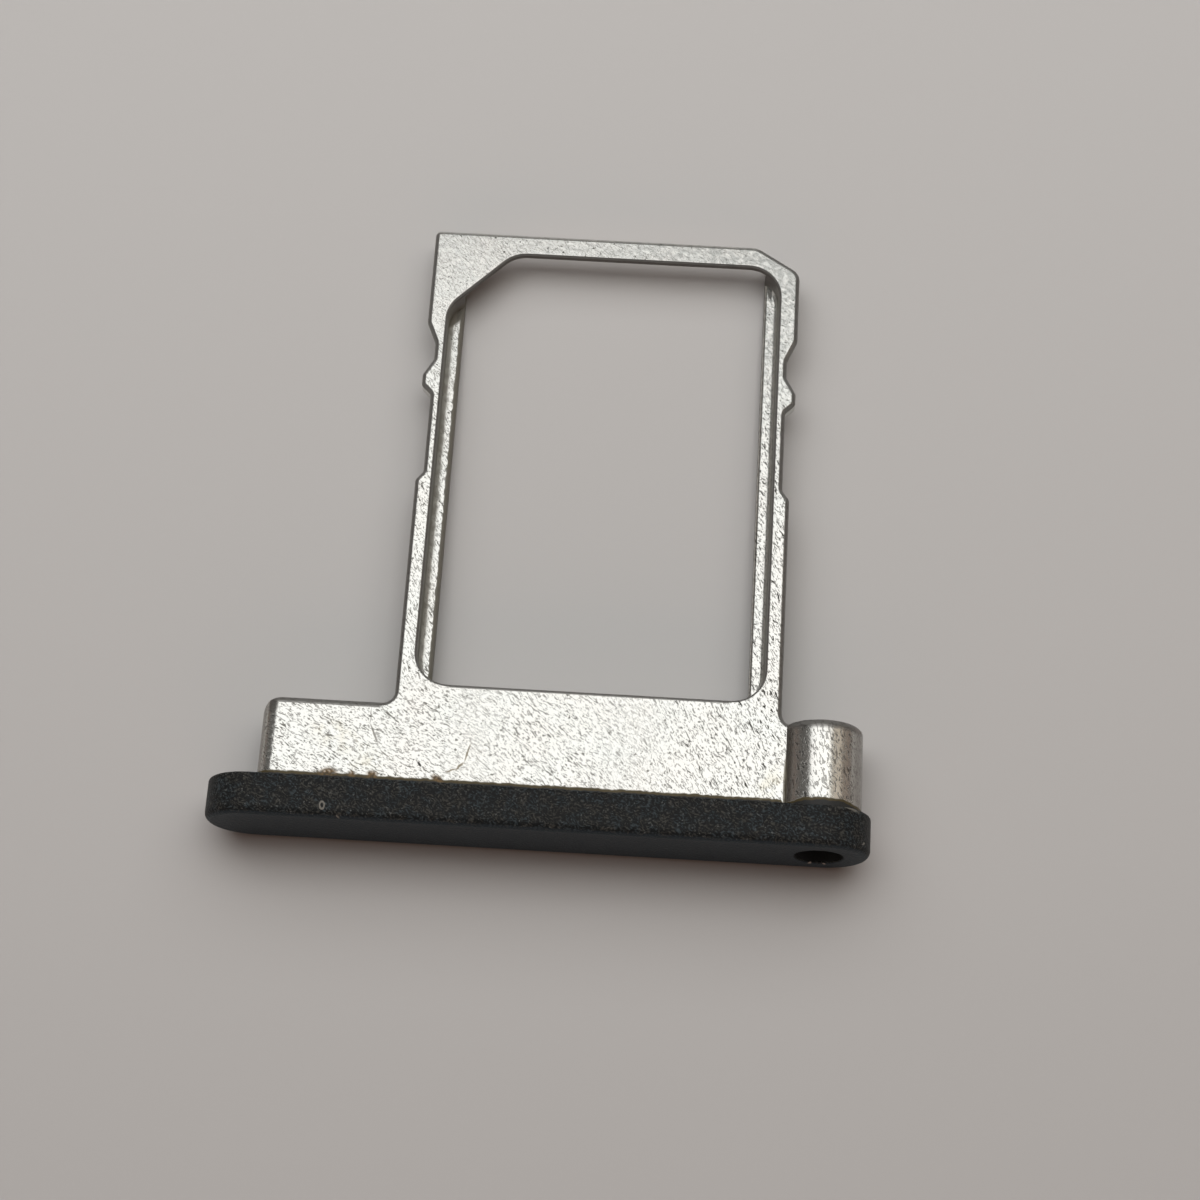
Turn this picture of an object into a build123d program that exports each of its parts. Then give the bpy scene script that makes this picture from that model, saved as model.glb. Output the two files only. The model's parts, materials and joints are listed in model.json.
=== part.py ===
from build123d import *
import os

# A nano-SIM card tray: one cast metal piece with a card frame, a root plate, an ejector boss
# and a painted face bar. All sizes are in millimetres.
# X runs along the face bar, Y runs from the face bar towards the far end, and Z is up.
# The origin is under the middle of the tray, at the height of the face bar's lower side.

# The card that the frame carries.
card_width = 8.8
card_length = 12.3
card_thickness = 0.67
card_notch = 1.65
card_corner_radius = 0.8

# Room round the card, and the ledges it lies on.
card_side_gap = 0.05
card_top_gap = 0.03
ledge_width = 0.38
ledge_flat = 0.1
ledge_edge_radius = 0.1
ledge_root_radius = 0.14

# Plate that the frame and the root share.
plate_thickness = 0.96
top_edge_radius = 0.135
pocket_edge_radius = 0.07
foot_edge_radius = 0.05

# Frame: widths are measured outwards from the pocket's walls,
# and places along it are measured from the pocket's near wall.
# The ears and the far bar are a thin lip that stands out from the two rails.
arm_width = 0.46
waist_width = 0.27
ear_width = 0.53
waist_start = 5.75
waist_end = 9.63
ear_start = 10.23
step_slope = 0.24
slope_radius = 0.3
corner_radius = 0.16
far_bar_width = 0.64
lip_thickness = 0.17

# Lead-in cut across the far right corner.
lead_in_across = 1.18
lead_in_along = 0.72
lead_in_radius = 0.4

# Detents that click into the slot, one on each arm.
detent_place = 8.53
detent_crest = 0.34
detent_near_slope = 0.25
detent_far_slope = 0.46
detent_height = 0.26
detent_thickness = 0.4

# Root plate between the face bar and the pocket.
root_length = 2.78
block_length = 2.22
block_corner_radius = 0.5
root_fillet = 0.32

# Face bar.
bar_length = 16.66
bar_height = 2.3
bar_depth = 1.05
bar_front_radius = 0.2
bar_rear_radius = 0.08
block_inset = 1.18

# Ejector boss and its hole for the pin.
boss_inset = 1.28
boss_arm_gap = 1.06
boss_radius = 1.04
boss_overhang = 0.05
boss_edge_radius = 0.16
pin_hole_radius = 0.6
pin_mouth_radius = 0.06

# Pocket and frame sizes that follow from the card.
pocket_width = card_width + 2 * card_side_gap
pocket_length = card_length + 2 * card_side_gap
pocket_depth = card_thickness + card_top_gap
window_width = pocket_width - 2 * ledge_width
flat_width = window_width + 2 * (ledge_edge_radius + ledge_flat)
arm_reach = pocket_width / 2 + arm_width
waist_reach = pocket_width / 2 + waist_width
ear_reach = pocket_width / 2 + ear_width
detent_reach = waist_reach + detent_height

# Places along Y, from the bar's face to the far end.
tray_length = bar_depth + root_length + pocket_length + far_bar_width
bar_front = -tray_length / 2
bar_rear = bar_front + bar_depth
block_far = bar_rear + block_length
boss_far = block_far + boss_overhang
pocket_near = bar_rear + root_length
far_end = tray_length / 2
step_y = pocket_near + waist_start
slope_y = pocket_near + waist_end
ear_y = pocket_near + ear_start
detent_near = pocket_near + detent_place - detent_crest / 2
detent_far = detent_near + detent_crest

# Places along X and heights. The plate, the boss and the bar share one middle height.
block_left = -bar_length / 2 + block_inset
boss_x = bar_length / 2 - boss_inset
pocket_x = boss_x - boss_arm_gap - arm_reach
middle_height = bar_height / 2
plate_top = middle_height + plate_thickness / 2


def rounded_outline(corners):
    """A face from (x, y, corner radius) in order round it."""
    points = [(x, y) for x, y, _ in corners]
    radii = [radius for _, _, radius in corners]
    return make_face(FilletPolyline(*points, radius=radii, close=True))


def slab(face, top, thickness):
    """A flat face made into a slab that hangs down from the height top."""
    return extrude(Pos(0, 0, top) * face, amount=-thickness, dir=(0, 0, 1))


def along_y(face, start, end):
    """A face drawn in X and Z, with Z up, drawn out along Y from start to end."""
    return extrude(Plane((0, start, 0), x_dir=(1, 0, 0), z_dir=(0, -1, 0)) * face, amount=start - end)


def plate_outline():
    """The plate seen from above, counter-clockwise from the root's near left corner."""
    right = [
        (arm_reach, block_far, root_fillet),
        (arm_reach, step_y - step_slope / 2, corner_radius),
        (waist_reach, step_y + step_slope / 2, corner_radius),
        (waist_reach, detent_near - detent_near_slope, corner_radius),
        (detent_reach, detent_near, corner_radius),
        (detent_reach, detent_far, corner_radius),
        (waist_reach, detent_far + detent_far_slope, corner_radius),
        (waist_reach, slope_y, slope_radius),
        (ear_reach, ear_y, slope_radius),
    ]
    left = [(-x, y, radius) for x, y, radius in reversed(right)]
    far_right = [
        (ear_reach, far_end - lead_in_along, lead_in_radius),
        (ear_reach - lead_in_across, far_end, lead_in_radius),
    ]
    far_left = [(-ear_reach, far_end, corner_radius)]
    frame = [(pocket_x + x, y, radius) for x, y, radius in right + far_right + far_left + left]
    root_near = [(block_left, bar_rear, 0), (boss_x, bar_rear, 0), (boss_x, block_far, 0)]
    root_far = [(block_left, block_far, block_corner_radius)]
    return rounded_outline(root_near + frame + root_far)


def card_outline():
    """The card seen from above, with its cut corner at the far left."""
    left = pocket_x - card_width / 2
    right = pocket_x + card_width / 2
    near = pocket_near + card_side_gap
    far = near + card_length
    corners = [
        (left, near),
        (right, near),
        (right, far),
        (left + card_notch, far),
        (left, far - card_notch),
    ]
    return rounded_outline([(x, y, card_corner_radius) for x, y in corners])


def open_rim(face):
    """The edges round a plate face, less the two that lie in the bar and in the boss."""
    slack = plate_thickness / 100
    rim = face.outer_wire().edges()
    return [e for e in rim if e.center().X < boss_x - slack and e.center().Y > bar_rear + slack]


def make_plate():
    """The frame and the root plate, with softened rims and a half-round left side."""
    plate = slab(plate_outline(), plate_top, plate_thickness)
    plate = fillet(open_rim(plate.faces().sort_by(Axis.Z)[-1]), top_edge_radius)
    plate = fillet(open_rim(plate.faces().sort_by(Axis.Z)[0]), foot_edge_radius)
    section_right = bar_length / 2 + plate_thickness
    section = Pos((block_left + section_right) / 2, middle_height) * SlotOverall(
        section_right - block_left, plate_thickness
    )
    plate = plate & along_y(section, bar_rear, far_end)
    detent_start = detent_near - detent_near_slope - corner_radius
    detent_end = detent_far + detent_far_slope + corner_radius
    plate = plate - beside_waists(detent_start, detent_end, detent_thickness)
    return plate - beside_waists(slope_y - slope_radius, far_end, lip_thickness)


def beside_waists(near, far, thickness):
    """The room under what stands out past the waists from near to far, and has only this thickness."""
    depth = max(ear_reach, detent_reach) - waist_reach + corner_radius
    reach = waist_reach + depth / 2
    middle = (near + far) / 2
    room = Rectangle(depth, far - near)
    sides = Pos(pocket_x + reach, middle) * room + Pos(pocket_x - reach, middle) * room
    return slab(sides, plate_top - thickness, plate_thickness)


def make_boss():
    """The round boss behind the bar, a little longer than the root plate, with a rounded far edge."""
    boss = along_y(Pos(boss_x, middle_height) * Circle(boss_radius), bar_rear, boss_far)
    return fillet(boss.edges().sort_by(Axis.Y)[-1], boss_edge_radius)


def make_bar():
    """The face bar: a slot-shaped section with softened edges front and rear."""
    bar = along_y(Pos(0, middle_height) * SlotOverall(bar_length, bar_height), bar_front, bar_rear)
    bar = fillet(bar.faces().sort_by(Axis.Y)[0].edges(), bar_front_radius)
    return fillet(bar.faces().sort_by(Axis.Y)[-1].edges(), bar_rear_radius)


def cut_pocket(tray):
    """The card's pocket, the window between its ledges and the hollow under the far bar.

    The rounding at the ledges' roots stops short of the window, so that their inner edges can be softened.
    """
    outline = offset(card_outline(), card_side_gap)
    pocket_middle = Pos(pocket_x, pocket_near + pocket_length / 2)
    window = pocket_middle * Rectangle(window_width, pocket_length)
    flat = pocket_middle * Rectangle(flat_width, pocket_length)
    under_far_bar = Pos(pocket_x, far_end) * Rectangle(window_width, pocket_length)
    room = slab(outline, plate_top, pocket_depth)
    room = fillet(room.faces().sort_by(Axis.Z)[0].edges(), ledge_root_radius)
    tray = tray - room - slab(outline & flat, plate_top, pocket_depth)
    tray = tray - slab(outline & window, plate_top, plate_thickness)
    tray = fillet(ledge_edges(tray), ledge_edge_radius)
    tray = tray - slab(under_far_bar, plate_top - lip_thickness, plate_thickness)
    return fillet(pocket_mouth(tray), pocket_edge_radius)


def ledge_edges(tray):
    """The two long edges where the ledges meet the window."""
    height = plate_top - pocket_depth
    edges = tray.edges().filter_by(Axis.Y).filter_by_position(Axis.Z, height, height)
    return edges.filter_by_position(Axis.X, pocket_x - window_width / 2, pocket_x + window_width / 2)


def pocket_mouth(tray):
    """The edges round the top of the pocket."""
    edges = tray.edges().filter_by_position(Axis.Z, plate_top, plate_top)
    edges = edges.filter_by_position(Axis.Y, pocket_near, pocket_near + pocket_length)
    return edges.filter_by_position(Axis.X, pocket_x - pocket_width / 2, pocket_x + pocket_width / 2)


def cut_pin_hole(tray):
    """The ejector pin's hole, right through the bar and the boss, with a softened mouth."""
    hole = along_y(Pos(boss_x, middle_height) * Circle(pin_hole_radius), bar_front, boss_far)
    tray = tray - hole
    mouth = tray.faces().sort_by(Axis.Y)[0].inner_wires()[0].edges()
    return fillet(mouth, pin_mouth_radius)


def make_tray():
    """The whole casting, with the card pocket and the pin hole cut."""
    return cut_pin_hole(cut_pocket(make_plate() + make_boss() + make_bar()))


tray = make_tray()
os.makedirs("parts", exist_ok=True)
export_step(tray, "parts/sim_tray.step")
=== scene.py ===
import json
import math

import bpy
from mathutils import Matrix, Vector


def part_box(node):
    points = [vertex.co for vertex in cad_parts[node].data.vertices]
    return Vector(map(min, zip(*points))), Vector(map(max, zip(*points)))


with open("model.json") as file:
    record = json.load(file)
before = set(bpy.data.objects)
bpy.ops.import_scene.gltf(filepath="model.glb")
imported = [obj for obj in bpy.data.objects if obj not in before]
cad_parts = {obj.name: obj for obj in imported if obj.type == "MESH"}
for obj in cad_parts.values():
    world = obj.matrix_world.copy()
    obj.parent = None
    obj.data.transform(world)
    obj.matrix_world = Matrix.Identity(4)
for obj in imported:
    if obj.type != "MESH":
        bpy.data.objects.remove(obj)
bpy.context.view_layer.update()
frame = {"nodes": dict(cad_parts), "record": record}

MM = 0.001

# The photograph's camera, in the tray's own frame: millimetres and degrees.
VIEW_TARGET = Vector((1.216, -2.097, 1.63))
VIEW_AZIMUTH = 3.523
VIEW_ELEVATION = 69.216
VIEW_ROLL = -0.07
VIEW_DISTANCE = 61.966
VIEW_LENS = 72.308

# The tray lies on the bar's lower rear edge and on the far ends of the rails.
REST_NEAR = Vector((0, -7.42, 0))
REST_FAR = Vector((0, 8.43, 0.67))
FLOOR_SIZE = 900
FLOOR_COLOUR = (0.468, 0.459, 0.447, 1)

# The even tone of the far floor and of the pale walls, and where on the floor it sets in, in millimetres.
BACKDROP_COLOUR = (0.44, 0.432, 0.42, 1)
BACKDROP_START = 28
BACKDROP_FULL = 110

# Places on the tray that the finishes follow, in millimetres.
MOUNTS = {mount["name"]: Vector(mount["pos_m"]) / MM for mount in frame["record"]["mounts"]}
BAR_REAR = MOUNTS["seat_face"].y
BOSS_MIDDLE = MOUNTS["ejector_hole"]
BOSS_LEFT = BOSS_MIDDLE.x - 0.92
BOSS_FAR = -5.115
ROOT_FAR = -5.165
PLATE_TOP = 1.63
POCKET_MIDDLE = MOUNTS["card_pocket"]
POCKET_HALF_WIDTH = 4.45
POCKET_NEAR = -4.605
POCKET_FAR = 7.795
WINDOW_HALF_WIDTH = 4.07
NOTCH_WALL = -9.515
FAR_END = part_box("sim_tray")[1][1] / MM

# The dim room low down and overhead.
ROOM_LOW_DOWN = (0.178, 0.134, 0.114, 1)
ROOM_OVERHEAD = (0.085, 0.078, 0.073, 1)

# Colours of the metal, of what lies on it, and of the shade painted on its rims, flanks and pocket.
METAL_WARM = (0.685, 0.66, 0.62, 1)
METAL_COOL = (0.655, 0.675, 0.645, 1)
FAR_END_MOTTLE = (0.4, 0.41, 0.39, 1)
STROKES_AT_LEFT = (0.12, 0.115, 0.1, 1)
STROKES_AT_RIGHT = (0.05, 0.048, 0.042, 1)
PIT_COLOUR = (0.1, 0.095, 0.08, 1)
RIM_SHADE_COLOUR = (0.11, 0.105, 0.097, 1)
FLANK_SHADE_COLOUR = (0.25, 0.23, 0.21, 1)
WALL_SHADE_COLOUR = (0.07, 0.067, 0.06, 1)
LEDGE_ROOT_GRIME_AND_SHADE = (0.2, 0.197, 0.165, 1)
LEDGE_EDGE_SHADE = (0.13, 0.12, 0.095, 1)
DIRT_COLOUR = (0.07, 0.052, 0.02, 1)
STAIN_COLOUR = (0.58, 0.54, 0.42, 1)
RUST_PALE = (0.18, 0.108, 0.04, 1)
RUST_DARK = (0.06, 0.042, 0.02, 1)
DARK_PIT_COLOUR = (0.03, 0.028, 0.025, 1)
SCRATCH_COLOUR = (0.16, 0.15, 0.13, 1)
SCUFF_COLOUR = (0.17, 0.14, 0.09, 1)
CREPT_PAINT = (0.012, 0.012, 0.011, 1)

# Colours of the paint, where it is whole, worn and chipped, with painted light on its front face and painted
# highlights on the hole's mouth.
PAINT_COOL = (0.0026, 0.004, 0.0046, 1)
PAINT_WARM = (0.0046, 0.004, 0.0038, 1)
FRONT_PAINTED_LIGHT = (0.018, 0.028, 0.036, 1)
WORN_COOL = (0.052, 0.069, 0.077, 1)
WORN_WARM = (0.074, 0.072, 0.062, 1)
WORN_DOTS = (0.17, 0.18, 0.175, 1)
CHIP_COLOUR = (0.2, 0.19, 0.165, 1)
MOUTH_GLINT_COLOUR = (0.45, 0.43, 0.4, 1)

# Turns of the metal's strokes at the left, in the middle and at the right, in degrees.
STROKE_TURNS = (-30, -42, -58)
STROKE_SOFTNESS = 0.055

# How rough the finishes are, how deep their relief is, and how far the bar's paint goes past its rear.
BARE_ROUGHNESS = 0.22
DIRT_AND_SHADE_ROUGHNESS = 0.55
PAINT_ROUGHNESS = 0.5
METAL_DEPTH = 0.009
PAINT_DEPTH = 0.008
PAINT_OVERLAP = 0.005


def add_camera():
    """The camera at the photograph's place and angle."""
    azimuth, elevation, roll = (math.radians(a) for a in (VIEW_AZIMUTH, VIEW_ELEVATION, VIEW_ROLL))
    back = Vector(
        (
            math.sin(azimuth) * math.cos(elevation),
            -math.cos(azimuth) * math.cos(elevation),
            math.sin(elevation),
        )
    )
    right = Vector((math.cos(azimuth), math.sin(azimuth), 0))
    up = back.cross(right)
    turn = Matrix((right, up, back)).transposed() @ Matrix.Rotation(roll, 3, "Z")
    place = (VIEW_TARGET + VIEW_DISTANCE * back) * MM
    bpy.ops.object.camera_add()
    camera = bpy.context.object
    camera.name = "camera"
    camera.matrix_world = Matrix.Translation(place) @ turn.to_4x4()
    camera.data.lens = VIEW_LENS
    camera.data.clip_start = 1 * MM
    bpy.context.scene.camera = camera


def add_floor():
    """A plain pale floor, in the plane that the tray touches."""
    along = REST_FAR - REST_NEAR
    bpy.ops.mesh.primitive_plane_add(
        size=FLOOR_SIZE * MM, location=REST_NEAR * MM, rotation=(math.atan2(along.z, along.y), 0, 0)
    )
    floor = bpy.context.object
    floor.name = "floor"
    floor.data.materials.append(pale_floor())


def pale_floor():
    """Matt and pale. Far from the tray it keeps an even tone, and from below it is clear."""
    material, tree, shader, place = new_finish("pale_floor")
    shader.inputs["Base Color"].default_value = FLOOR_COLOUR
    shader.inputs["Roughness"].default_value = 0.9
    shader.inputs["Specular IOR Level"].default_value = 0.1
    backdrop = tree.nodes.new("ShaderNodeEmission")
    backdrop.inputs["Color"].default_value = BACKDROP_COLOUR
    clear = tree.nodes.new("ShaderNodeBsdfTransparent")
    away = vector_maths(tree, "LENGTH", place, output="Value")
    ray = tree.nodes.new("ShaderNodeLightPath").outputs
    seen = larger(tree, ray["Is Camera Ray"], ray["Is Glossy Ray"])
    far_off = times(tree, fade(tree, away, BACKDROP_START, BACKDROP_FULL), seen)
    from_below = tree.nodes.new("ShaderNodeNewGeometry").outputs["Backfacing"]
    surface = mixed(tree, far_off, shader.outputs["BSDF"], backdrop.outputs["Emission"])
    surface = mixed(tree, from_below, surface, clear.outputs["BSDF"])
    put(tree.nodes["Material Output"].inputs["Surface"], surface)
    return material


def add_softbox(name, place, target, size, power, colour=(1, 1, 1), in_reflections=True):
    """A rectangular soft lamp that faces the target. Places and sizes are in millimetres."""
    bpy.ops.object.light_add(type="AREA", location=Vector(place) * MM)
    lamp = bpy.context.object
    lamp.name = name
    lamp.rotation_euler = (Vector(place) - Vector(target)).to_track_quat("Z", "Y").to_euler()
    lamp.data.shape = "RECTANGLE"
    lamp.data.size = size[0] * MM
    lamp.data.size_y = size[1] * MM
    lamp.data.energy = power
    lamp.data.color = colour
    lamp.visible_glossy = in_reflections


def light_scene():
    """A softbox over the tray, warm cards on its right, fills that show in no reflection, and a dim room."""
    middle = (0, 0, 0)
    warm = (1, 0.9, 0.76)
    warmer = (1, 0.73, 0.54)
    warmest = (1, 0.55, 0.4)
    add_softbox("key_softbox", (-28, 63, 232), (-28, 63, 0), (250, 166), 0.198)
    add_softbox("warm_card_near", (123, 33, 197), middle, (82, 200), 0.026, warm)
    add_softbox("warm_card_far", (188, 33, 136), middle, (90, 200), 0.0085, warmer)
    add_softbox("back_fill", (-4, 38, 75), (0, 2, 0), (170, 90), 0.076, in_reflections=False)
    add_softbox("front_fill", (0, -220, 70), middle, (300, 100), 0.1, warmest, in_reflections=False)
    bpy.context.scene.world = dim_room()


def dim_room():
    """A dim warm room. Metal also mirrors pale walls low down in it, which give no light."""
    world = bpy.data.worlds.new("dim_room")
    world.use_nodes = True
    tree = world.node_tree
    direction = axes(tree, tree.nodes.new("ShaderNodeTexCoord").outputs["Generated"])
    overhead = fade(tree, direction["Z"], 0.05, 0.45)
    room = blend(tree, overhead, ROOM_LOW_DOWN, ROOM_OVERHEAD)
    far_wall = times(tree, fade(tree, direction["Z"], 0.8, 0.65), fade(tree, direction["Y"], 0.42, 0.58))
    near_wall = times(tree, fade(tree, direction["Z"], 0.8, 0.6), fade(tree, direction["Y"], 0.25, 0.1))
    mirrored = blend(tree, larger(tree, far_wall, near_wall), room, BACKDROP_COLOUR)
    ray = tree.nodes.new("ShaderNodeLightPath").outputs
    colour = blend(tree, ray["Is Glossy Ray"], room, mirrored)
    colour = blend(tree, ray["Is Camera Ray"], colour, BACKDROP_COLOUR)
    put(tree.nodes["Background"].inputs["Color"], colour)
    return world


def put(socket, value):
    """Links a node's output to a socket, or writes a plain value in it."""
    if isinstance(value, bpy.types.NodeSocket):
        socket.id_data.links.new(value, socket)
    else:
        socket.default_value = value


def maths(tree, operation, *values):
    """One sum on plain numbers or sockets."""
    node = tree.nodes.new("ShaderNodeMath")
    node.operation = operation
    for socket, value in zip(node.inputs, values):
        put(socket, value)
    return node.outputs["Value"]


def minus(tree, value, other):
    """One value less another."""
    return maths(tree, "SUBTRACT", value, other)


def size_of(tree, value):
    """A value without its sign."""
    return maths(tree, "ABSOLUTE", value)


def larger(tree, *values):
    """The largest of several masks."""
    most = values[0]
    for value in values[1:]:
        most = maths(tree, "MAXIMUM", most, value)
    return most


def times(tree, *values):
    """The product of several masks."""
    product = values[0]
    for value in values[1:]:
        product = maths(tree, "MULTIPLY", product, value)
    return product


def between(tree, amount, start, end):
    """A number that goes from start to end with the amount."""
    return maths(tree, "MULTIPLY_ADD", amount, minus(tree, end, start), start)


def vector_maths(tree, operation, *values, output="Vector"):
    """One sum on vectors."""
    node = tree.nodes.new("ShaderNodeVectorMath")
    node.operation = operation
    for socket, value in zip(node.inputs, values):
        put(socket, value)
    return node.outputs[output]


def millimetres(tree):
    """The place on the tray, in millimetres."""
    scale = tree.nodes.new("ShaderNodeVectorMath")
    scale.operation = "SCALE"
    put(scale.inputs[0], tree.nodes.new("ShaderNodeTexCoord").outputs["Object"])
    put(scale.inputs["Scale"], 1 / MM)
    return scale.outputs["Vector"]


def laid_on(tree, place, centre, turn, lengths):
    """The place, measured from a centre along axes turned about Z, in units of the lengths."""
    node = tree.nodes.new("ShaderNodeMapping")
    node.vector_type = "TEXTURE"
    put(node.inputs["Vector"], place)
    node.inputs["Location"].default_value = centre
    node.inputs["Rotation"].default_value = (0, 0, math.radians(turn))
    node.inputs["Scale"].default_value = lengths
    return node.outputs["Vector"]


def noise(tree, place, size, detail, distortion=0.0):
    """Noise from 0 to 1 with lumps about as large as the size."""
    node = tree.nodes.new("ShaderNodeTexNoise")
    put(node.inputs["Vector"], place)
    node.inputs["Scale"].default_value = 1 / size
    node.inputs["Detail"].default_value = detail
    node.inputs["Distortion"].default_value = distortion
    return node.outputs["Fac"]


def shaken(tree, place, size, reach):
    """The place, shifted unevenly by up to about the reach."""
    node = tree.nodes.new("ShaderNodeTexNoise")
    put(node.inputs["Vector"], place)
    node.inputs["Scale"].default_value = 1 / size
    node.inputs["Detail"].default_value = 1
    shift = vector_maths(tree, "SUBTRACT", node.outputs["Color"], (0.5, 0.5, 0.5))
    return vector_maths(tree, "MULTIPLY_ADD", shift, (4 * reach, 4 * reach, 4 * reach), place)


def fade(tree, value, low, high, start=0.0, end=1.0):
    """Smoothly from start, where the value is low, to end, where it is high."""
    node = tree.nodes.new("ShaderNodeMapRange")
    node.interpolation_type = "SMOOTHSTEP"
    put(node.inputs["Value"], value)
    put(node.inputs["From Min"], low)
    put(node.inputs["From Max"], high)
    node.inputs["To Min"].default_value = start
    node.inputs["To Max"].default_value = end
    return node.outputs["Result"]


def blend(tree, amount, base, over):
    """One colour over another."""
    node = tree.nodes.new("ShaderNodeMix")
    node.data_type = "RGBA"
    put(node.inputs["Factor"], amount)
    put(node.inputs["A"], base)
    put(node.inputs["B"], over)
    return node.outputs["Result"]


def mixed(tree, amount, surface, over):
    """One surface over another."""
    node = tree.nodes.new("ShaderNodeMixShader")
    put(node.inputs["Fac"], amount)
    put(node.inputs[1], surface)
    put(node.inputs[2], over)
    return node.outputs["Shader"]


def axes(tree, place):
    """The X, Y and Z of a place."""
    node = tree.nodes.new("ShaderNodeSeparateXYZ")
    put(node.inputs["Vector"], place)
    return node.outputs


def facing(tree):
    """How much the surface faces along X, Y and Z: Z is 1 on top and 0 on a wall."""
    return axes(tree, tree.nodes.new("ShaderNodeNewGeometry").outputs["Normal"])


def relief(tree, height, depth):
    """A bumpy normal from a height of 0 to 1, as deep as the depth."""
    node = tree.nodes.new("ShaderNodeBump")
    node.inputs["Distance"].default_value = depth * MM
    put(node.inputs["Height"], height)
    return node.outputs["Normal"]


def new_finish(name):
    """A new material with its node tree, its shader and the place on the piece."""
    material = bpy.data.materials.new(name)
    material.use_nodes = True
    tree = material.node_tree
    return material, tree, tree.nodes["Principled BSDF"], millimetres(tree)


def spot(tree, place, centre, turn, lengths, soft=0.35):
    """A mark with half-axes of the given lengths: 1 inside it and 0 outside."""
    away = vector_maths(tree, "LENGTH", laid_on(tree, place, centre, turn, lengths), output="Value")
    return fade(tree, away, 1 + soft, 1 - soft)


def ring(tree, place, centre, turn, lengths):
    """The outline of a mark with half-axes of the given lengths."""
    away = vector_maths(tree, "LENGTH", laid_on(tree, place, centre, turn, lengths), output="Value")
    return fade(tree, size_of(tree, minus(tree, away, 0.8)), 0.35, 0.15)


def marks(tree, place, rows, soft=0.35):
    """Several marks in one mask."""
    return larger(tree, *(spot(tree, place, centre, turn, lengths, soft) for centre, turn, lengths in rows))


def strokes(tree, place, turn, lengths, most):
    """Fine short strokes that run along the turn, 1 in their middle. More of them show with a larger most."""
    grain = noise(tree, laid_on(tree, place, (0, 0, 0), turn, lengths), 1, 1, distortion=0.7)
    return fade(tree, grain, most, most - STROKE_SOFTNESS)


def combed(tree, place, x, y, lengths, most):
    """Strokes that lean a little at the left, and turn steeper towards the right and on the frame."""
    to_middle = fade(tree, x, -3, -0.5)
    to_right = larger(tree, fade(tree, x, 0.5, 4), fade(tree, y, -4.9, -4.3))
    left, middle, right = (strokes(tree, place, turn, lengths, most) for turn in STROKE_TURNS)
    return between(tree, to_right, between(tree, to_middle, left, middle), right)


# Marks on the root plate: the middle, the turn about Z and the half-axes, in millimetres and degrees.
RUST_SPOTS = [
    ((-5.31, -7.1, PLATE_TOP), 8, (0.21, 0.11, 0.2)),
    ((-4.71, -7.12, PLATE_TOP), 0, (0.1, 0.07, 0.2)),
    ((-4.2, -7.1, PLATE_TOP), 0, (0.13, 0.1, 0.2)),
    ((-2.55, -7.12, PLATE_TOP), -25, (0.16, 0.08, 0.2)),
]
SCRATCHES = [
    ((-4.37, -5.56, PLATE_TOP), 90, (0.2, 0.011, 0.2)),
    ((-4.25, -6.02, PLATE_TOP), -64, (0.28, 0.024, 0.2)),
    ((-3.93, -6.55, PLATE_TOP), -40, (0.15, 0.018, 0.2)),
]
STAINS = [
    ((-5.1, -6.15, PLATE_TOP), -25, (0.7, 0.3, 0.2)),
    ((-4.3, -6.75, PLATE_TOP), 10, (0.5, 0.2, 0.2)),
    ((5.75, -6.8, PLATE_TOP), 60, (0.5, 0.25, 0.2)),
]
SCUFFS = [
    ((-1.86, -6.40, PLATE_TOP), 76, (0.24, 0.022, 0.2)),
    ((-2.03, -6.75, PLATE_TOP), 48, (0.13, 0.03, 0.2)),
    ((-2.24, -6.88, PLATE_TOP), 24, (0.13, 0.022, 0.2)),
]
DARK_PIT = ((-3.03, -6.76, PLATE_TOP), -60, (0.075, 0.032, 0.2))
BOSS_SEAM = ((BOSS_LEFT, -6.9, PLATE_TOP), 0, (0.05, 0.9, 0.2))


class Survey:
    """The places and facings on the tray that its metal finish follows."""

    def __init__(self, tree, place):
        normal = facing(tree)
        self.place = place
        self.bent = shaken(tree, place, 0.3, 0.025)
        self.bent_slightly = shaken(tree, place, 0.14, 0.014)
        self.x, self.y, self.z = axes(tree, place)
        self.uneven = axes(tree, shaken(tree, place, 0.16, 0.02))
        self.sideways = size_of(tree, normal["X"])
        self.up = normal["Z"]
        self.on_boss = fade(tree, self.x, BOSS_LEFT, BOSS_LEFT + 0.03)
        self.at_far_end = fade(tree, self.y, 1, 7)


def metal_grain(tree, at):
    """The metal's grain: combed strokes, pits and the height of both with a soft crinkle under them."""
    fine = combed(tree, at.bent, at.x, at.y, (0.11, 0.039, 0.06), 0.425)
    bold = combed(tree, at.bent, at.x, at.y, (0.2, 0.047, 0.08), 0.36)
    on_plate = larger(tree, times(tree, fine, 0.6), bold)
    cut = between(tree, at.on_boss, on_plate, strokes(tree, at.bent, -70, (0.15, 0.055, 0.06), 0.44))
    pits = fade(tree, noise(tree, at.place, 0.085, 0.5), 0.72, 0.78)
    crinkle_place = laid_on(tree, at.bent, (4, 7, 0), -35, (0.2, 0.09, 0.12))
    crinkle = noise(tree, crinkle_place, 1, 1, distortion=0.4)
    height = times(tree, crinkle, between(tree, at.at_far_end, 0.9, 0.35), between(tree, at.on_boss, 1, 0.5))
    height = maths(tree, "MULTIPLY_ADD", larger(tree, cut, pits), -0.3, height)
    return cut, pits, height


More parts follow.
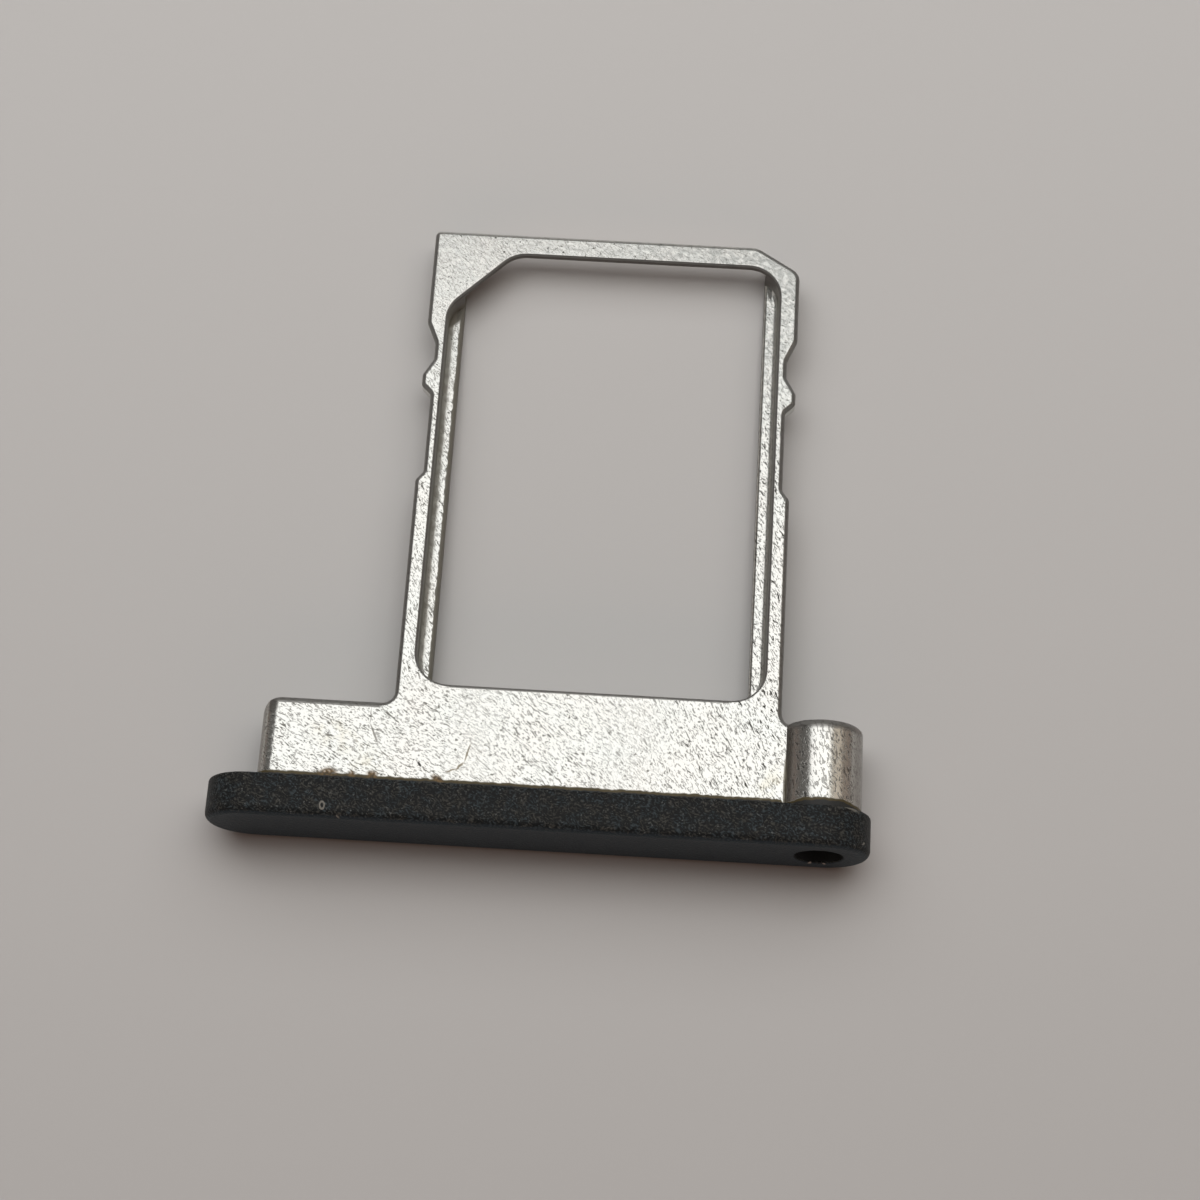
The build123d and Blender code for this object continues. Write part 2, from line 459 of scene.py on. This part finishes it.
def grained_colour(tree, at, cut, pits):
    """Bright metal with dark strokes and pits. It is darker in blotches towards the far end, with fewer
    strokes.
    """
    colour = blend(tree, noise(tree, at.place, 1.1, 2), METAL_WARM, METAL_COOL)
    clouds = fade(tree, noise(tree, at.bent, 0.18, 1), 0.35, 0.65, 0.1, 1)
    far_mottle = times(tree, at.at_far_end, fade(tree, at.x, -3, 6, 0.15, 0.75), clouds)
    colour = blend(tree, far_mottle, colour, FAR_END_MOTTLE)
    strength = maths(tree, "ADD", fade(tree, at.x, -5, 0, 0.95, 0.85), fade(tree, at.x, 0, 5.5, 0, 0.15))
    strength = times(tree, strength, fade(tree, at.up, 0.3, 0.8, 0.25, 1))
    strength = between(tree, at.on_boss, strength, 0.6)
    strength = times(tree, strength, fade(tree, at.at_far_end, 0, 1, 1, 0.2))
    cut_colour = blend(tree, fade(tree, at.x, 0.5, 5), STROKES_AT_LEFT, STROKES_AT_RIGHT)
    colour = blend(tree, times(tree, cut, strength), colour, cut_colour)
    pitted = times(tree, pits, fade(tree, at.up, 0.3, 0.8, 0.3, 0.85))
    return blend(tree, pitted, colour, PIT_COLOUR)


def rims_in_painted_shade(tree, at):
    """Painted shade on the softened rims round the top: a dark colour standing in for the dim room that they
    mirror. The far edge and the half-round left side have none.
    """
    half_round = times(
        tree, fade(tree, at.x, -6.6, -6.75), fade(tree, at.y, ROOT_FAR - 0.3, ROOT_FAR - 0.5)
    )
    softened = times(
        tree, fade(tree, at.up, 0.9995, 0.965), fade(tree, larger(tree, at.on_boss, half_round), 1, 0)
    )
    boss_rim = times(tree, at.on_boss, fade(tree, at.y, BOSS_FAR - 0.29, BOSS_FAR - 0.17))
    root_band = times(
        tree, fade(tree, at.y, ROOT_FAR - 0.18, ROOT_FAR - 0.155), fade(tree, at.x, -4.05, -4.2)
    )
    aside = size_of(tree, minus(tree, at.x, POCKET_MIDDLE.x))
    pocket_band = times(
        tree,
        fade(tree, at.y, POCKET_NEAR - 0.1, POCKET_NEAR - 0.08),
        fade(tree, at.y, 0, -1),
        fade(tree, aside, 3.65, 3.5),
    )
    far_edge = times(tree, fade(tree, at.y, FAR_END - 0.12, FAR_END - 0.07), fade(tree, at.z, 1.45, 1.5))
    near_top = fade(tree, at.z, PLATE_TOP - 0.13, PLATE_TOP - 0.09, 0, 0.85)
    rims = larger(tree, softened, boss_rim, root_band, pocket_band)
    return times(tree, rims, near_top, fade(tree, far_edge, 1, 0))


def pocket_shade_and_grime(tree, at):
    """Painted shade in the pocket: on its walls, along the ledges' roots with some grime there, and on the
    ledges' inner edges, with a painted shadow of the notch wall at the cut corner.
    """
    beside = minus(tree, at.uneven["X"], POCKET_MIDDLE.x)
    aside = size_of(tree, beside)
    on_left = fade(tree, beside, 1, -1)
    past_near = fade(tree, at.y, POCKET_NEAR + 0.03, POCKET_NEAR + 0.1)
    along_pocket = times(tree, past_near, fade(tree, at.y, POCKET_FAR + 0.1, POCKET_FAR + 0.05))
    in_pocket = fade(tree, aside, POCKET_HALF_WIDTH + 0.02, POCKET_HALF_WIDTH)
    near_pocket = fade(tree, aside, POCKET_HALF_WIDTH + 0.2, POCKET_HALF_WIDTH + 0.12)
    # Painted shade: the pocket's walls are darkened for the shaded floor that they mirror.
    walls = times(tree, fade(tree, at.up, 0.4, 0.15), near_pocket, along_pocket)

    # The ledges' roots: painted shade in the crease under the walls, with olive grime in patches.
    under_rim = fade(tree, at.z, PLATE_TOP - 0.04, PLATE_TOP - 0.1)
    root_start = between(tree, on_left, POCKET_HALF_WIDTH - 0.15, POCKET_HALF_WIDTH - 0.2)
    roots = fade(tree, minus(tree, aside, root_start), 0, 0.13)
    patchy = fade(tree, noise(tree, at.place, 0.3, 1), 0.35, 0.65, 0.6, 1)
    roots = times(tree, roots, under_rim, in_pocket, between(tree, on_left, 0.75, 0.9), patchy)

    # The ledges' inner edges: painted shade where they round off to the window, and a painted shadow of the
    # notch wall across the left ledge's end.
    on_ledge = fade(tree, at.z, POCKET_MIDDLE.z + 0.3, POCKET_MIDDLE.z + 0.15)
    edge_end = between(tree, on_left, WINDOW_HALF_WIDTH + 0.01, WINDOW_HALF_WIDTH + 0.12)
    edges = fade(tree, minus(tree, aside, edge_end), 0, -0.03)
    to_notch = minus(tree, minus(tree, at.x, at.y), NOTCH_WALL)
    edges = larger(tree, edges, times(tree, fade(tree, to_notch, 0.45, 0.3), on_left))
    edges = times(tree, edges, on_ledge, in_pocket, along_pocket, fade(tree, at.up, -0.3, -0.1), 0.95)
    return walls, roots, edges


def past_paint(tree, at):
    """How far a place is past the paint that runs from the bar over the root, in millimetres."""
    over_boss = fade(tree, at.uneven["Z"], 1.72, 2.1)
    beside_boss = fade(tree, at.uneven["X"], BOSS_LEFT, BOSS_LEFT - 0.1)
    reach = maths(tree, "MULTIPLY_ADD", over_boss, 0.06, BAR_REAR + 0.08)
    reach = maths(tree, "MULTIPLY_ADD", beside_boss, 0.11, reach)
    return minus(tree, at.uneven["Y"], reach)


def root_marks(tree, at, colour):
    """The stains, rust, scratches and scuffs on the root plate, over the colour. Gives the rust's mask too."""
    cloudy = fade(tree, noise(tree, at.place, 0.25, 1), 0.35, 0.7, 0, 0.4)
    colour = blend(tree, times(tree, marks(tree, at.bent, STAINS, 0.8), cloudy), colour, STAIN_COLOUR)
    crumbs = noise(tree, at.place, 0.07, 1)
    rust = times(tree, marks(tree, at.bent_slightly, RUST_SPOTS, 0.6), fade(tree, crumbs, 0.3, 0.5, 0.6, 1))
    rust_colour = blend(tree, fade(tree, crumbs, 0.4, 0.65), RUST_PALE, RUST_DARK)
    colour = blend(tree, rust, colour, rust_colour)
    colour = blend(tree, spot(tree, at.bent_slightly, *DARK_PIT), colour, DARK_PIT_COLOUR)
    scratched = times(tree, marks(tree, at.bent_slightly, SCRATCHES), 0.85)
    colour = blend(tree, scratched, colour, SCRATCH_COLOUR)
    scuffed = times(tree, marks(tree, at.bent_slightly, SCUFFS), 0.9)
    return blend(tree, scuffed, colour, SCUFF_COLOUR), rust


def tray_metal():
    """Bright sintered metal: a wavy combed grain, pits, painted shade on its rims, flanks and pocket, and the
    marks round the bar's root.
    """
    material, tree, shader, place = new_finish("sintered_metal")
    at = Survey(tree, place)
    cut, pits, height = metal_grain(tree, at)
    colour = grained_colour(tree, at, cut, pits)

    # Painted shade on the rims, standing in for the dim room that they mirror.
    rims = rims_in_painted_shade(tree, at)
    colour = blend(tree, rims, colour, RIM_SHADE_COLOUR)
    # Painted shade: faces turned sideways by the root and boss are darkened where they mirror the darker floor
    # beside them.
    flanks = times(tree, fade(tree, at.sideways, 0.6, 0.85), fade(tree, at.y, ROOT_FAR + 0.06, ROOT_FAR))
    colour = blend(tree, times(tree, flanks, 0.68), colour, FLANK_SHADE_COLOUR)

    # Painted shade on the pocket's walls, along the ledges' roots with some grime there, and on the ledges'
    # inner edges.
    walls, roots, edges = pocket_shade_and_grime(tree, at)
    colour = blend(tree, times(tree, walls, 0.9), colour, WALL_SHADE_COLOUR)
    colour = blend(tree, roots, colour, LEDGE_ROOT_GRIME_AND_SHADE)
    colour = blend(tree, edges, colour, LEDGE_EDGE_SHADE)

    past = past_paint(tree, at)
    painted = fade(tree, past, 0.015, -0.01)
    dirt = larger(tree, fade(tree, past, 0.095, 0.05), times(tree, spot(tree, place, *BOSS_SEAM), 0.8))
    colour = blend(tree, dirt, colour, DIRT_COLOUR)
    colour, rust = root_marks(tree, at, colour)
    colour = blend(tree, painted, colour, CREPT_PAINT)

    # Dirt, rust and the painted shade all make the metal less metallic and rougher.
    dirt_and_shade = larger(tree, dirt, rust, roots, edges, walls, times(tree, rims, 0.5))
    bare = times(tree, fade(tree, painted, 0.7, 0.3), fade(tree, dirt_and_shade, 0, 1, 1, 0.3))
    put(shader.inputs["Base Color"], colour)
    put(shader.inputs["Metallic"], bare)
    put(shader.inputs["Roughness"], fade(tree, bare, 0, 1, DIRT_AND_SHADE_ROUGHNESS, BARE_ROUGHNESS))
    put(shader.inputs["Normal"], relief(tree, height, METAL_DEPTH))
    return material


# Chips in the bar's paint, and painted highlights on the hole's mouth: the middle, the turn about Z and the
# half-axes, in millimetres and degrees.
PAINT_CHIPS = [
    ((-4.87, -8.40, 2.2), -35, (0.05, 0.02, 0.1)),
    ((8.087, -8.209, 1.7), 50, (0.06, 0.02, 0.3)),
    ((7.66, -7.39, 1.95), -14, (0.3, 0.05, 0.25)),
]
RING_CHIP = ((-5.274, -8.151, 2.3), 0, (0.07, 0.12, 0.2))
# Painted highlights: pale specks where the lower rim of the hole's mouth catches the light.
MOUTH_GLINTS = [
    ((6.87, -8.41, 0.54), 0, (0.05, 0.05, 0.025)),
    ((7.25, -8.41, 0.543), 0, (0.04, 0.05, 0.02)),
]


def bar_paint():
    """Satin black paint with a fine speckle of worn strokes on top, a few chips, painted light on the front
    face and painted highlights on the hole's mouth.
    """
    material, tree, shader, place = new_finish("black_paint")
    normal = facing(tree)
    top = fade(tree, normal["Z"], 0.35, 0.75, 0.2, 1)
    front = fade(tree, normal["Y"], -0.6, -0.95)
    bent = shaken(tree, place, 0.3, 0.05)
    bent_slightly = shaken(tree, place, 0.1, 0.015)

    colour = blend(tree, noise(tree, place, 0.5, 1), PAINT_COOL, PAINT_WARM)
    # Painted light: the front face is made lighter and bluer, standing in for the light on it and offsetting
    # the warm fill.
    colour = blend(tree, front, colour, FRONT_PAINTED_LIGHT)
    speckle = noise(tree, laid_on(tree, bent, (0, 0, 0), -25, (0.065, 0.045, 0.05)), 1, 1)
    worn = fade(tree, speckle, 0.42, 0.74)
    worn_tint = fade(tree, noise(tree, place, 0.3, 1), 0.4, 0.6)
    worn_colour = blend(tree, worn_tint, WORN_COOL, WORN_WARM)
    colour = blend(tree, times(tree, worn, top, 0.62), colour, worn_colour)
    dots = fade(tree, noise(tree, place, 0.06, 1), 0.66, 0.78)
    colour = blend(tree, times(tree, dots, top, 0.5), colour, WORN_DOTS)

    chips = larger(tree, marks(tree, bent_slightly, PAINT_CHIPS), ring(tree, bent_slightly, *RING_CHIP))
    colour = blend(tree, times(tree, chips, 0.8), colour, CHIP_COLOUR)
    # Painted highlights on the hole's mouth.
    mouth_glints = marks(tree, bent_slightly, MOUTH_GLINTS)
    colour = blend(tree, times(tree, mouth_glints, 0.8), colour, MOUTH_GLINT_COLOUR)
    height = maths(tree, "ADD", noise(tree, place, 0.07, 2), worn)
    put(shader.inputs["Base Color"], colour)
    put(shader.inputs["Normal"], relief(tree, height, PAINT_DEPTH))
    shader.inputs["Roughness"].default_value = PAINT_ROUGHNESS
    shader.inputs["Specular IOR Level"].default_value = 0.2
    return material


def paint_the_bar(tray):
    """Metal all over, and paint on the faces of the bar."""
    tray.data.materials.clear()
    tray.data.materials.append(tray_metal())
    tray.data.materials.append(bar_paint())
    for face in tray.data.polygons:
        face.material_index = int(face.center.y < (BAR_REAR + PAINT_OVERLAP) * MM)


bpy.ops.object.select_all(action="DESELECT")
bpy.context.scene.view_settings.view_transform = "Standard"
add_camera()
add_floor()
light_scene()
paint_the_bar(frame["nodes"]["sim_tray"])
